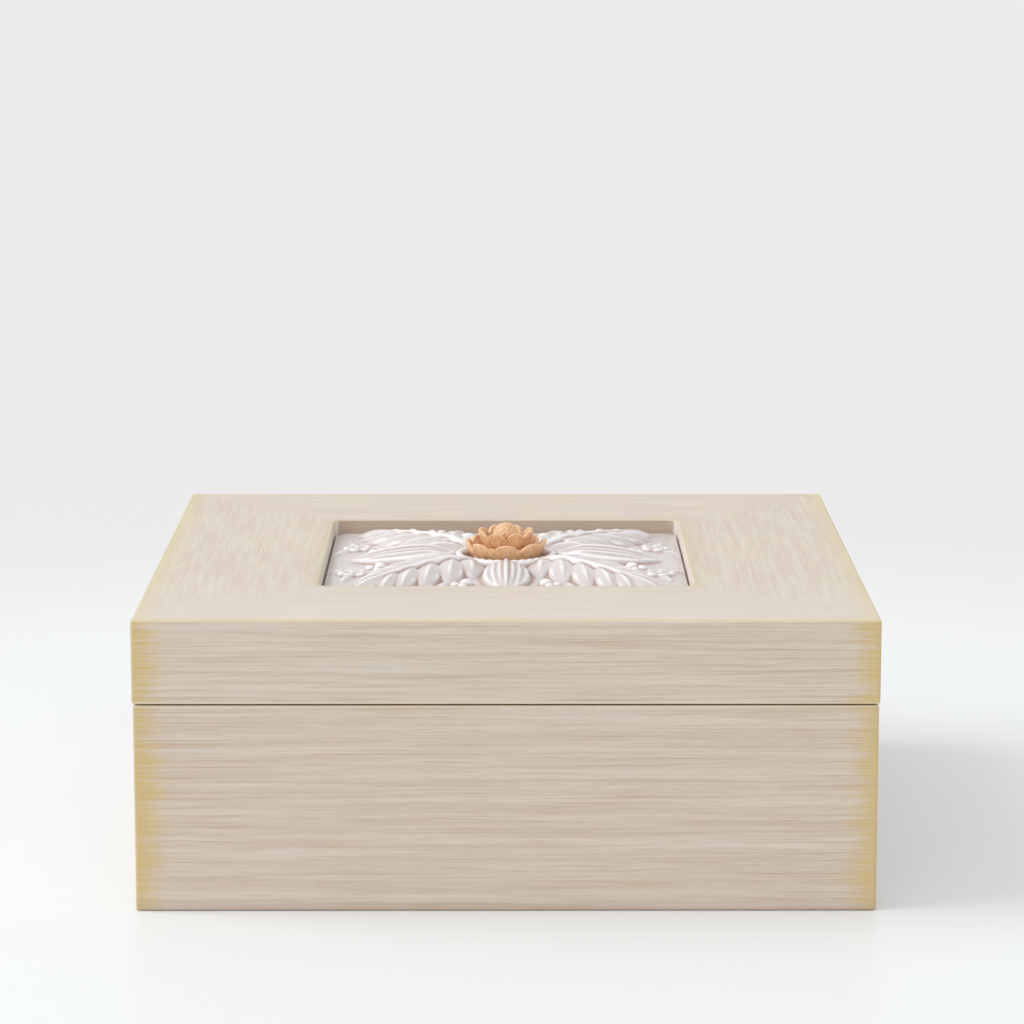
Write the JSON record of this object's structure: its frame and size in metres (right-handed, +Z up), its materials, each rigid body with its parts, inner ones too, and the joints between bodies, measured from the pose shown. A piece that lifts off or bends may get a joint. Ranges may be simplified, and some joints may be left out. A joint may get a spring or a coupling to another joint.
{
  "type": "keepsake box",
  "caption": "Square wooden keepsake box with a hinged lid whose mitred top frames a recessed carved panel of leaves round a raised rosette.",
  "frame": {"origin": "centre of the underside, on the table", "axes": "+Z up, front towards -Y, hinges at +Y, +X to the right seen from the front"},
  "size_m": [0.2036, 0.2036, 0.0901],
  "materials": {
    "washed_wood": "brushed wash paint, satin, yellow ochre showing at worn edges",
    "plain_wood": "plain sanded wood",
    "pearl_panel": "cast and hand finished, pearl paint with a thin brown wash in the creases",
    "honey_wood": "carved wood, satin, darker in the cuts",
    "brass": "satin brass",
    "felt": "short wool felt"
  },
  "bodies": {
    "base": {"base_front_wall": "washed_wood", "base_back_wall": "washed_wood", "base_left_wall": "washed_wood", "base_right_wall": "washed_wood", "bottom_panel": "plain_wood", "floor_felt": "felt", "left_base_hinge_leaf": "brass", "right_base_hinge_leaf": "brass", "left_hinge_pin": "brass", "right_hinge_pin": "brass", "base_hinge_screws": "brass"},
    "lid": {"lid_front_wall": "washed_wood", "lid_back_wall": "washed_wood", "lid_left_wall": "washed_wood", "lid_right_wall": "washed_wood", "lid_front_rail": "washed_wood", "lid_back_rail": "washed_wood", "lid_left_stile": "washed_wood", "lid_right_stile": "washed_wood", "carved_panel": "pearl_panel", "rosette": "honey_wood", "panel_backing": "plain_wood", "backing_screws": "brass", "left_lid_hinge_leaf": "brass", "right_lid_hinge_leaf": "brass", "lid_hinge_screws": "brass"}
  },
  "joints": [
    {"name": "lid_hinge", "type": "hinge", "parent": "base", "child": "lid", "pos_m": [0, 0.0985, 0.05775], "axis": [-1, 0, 0], "range_deg": [0, 100]}
  ]
}
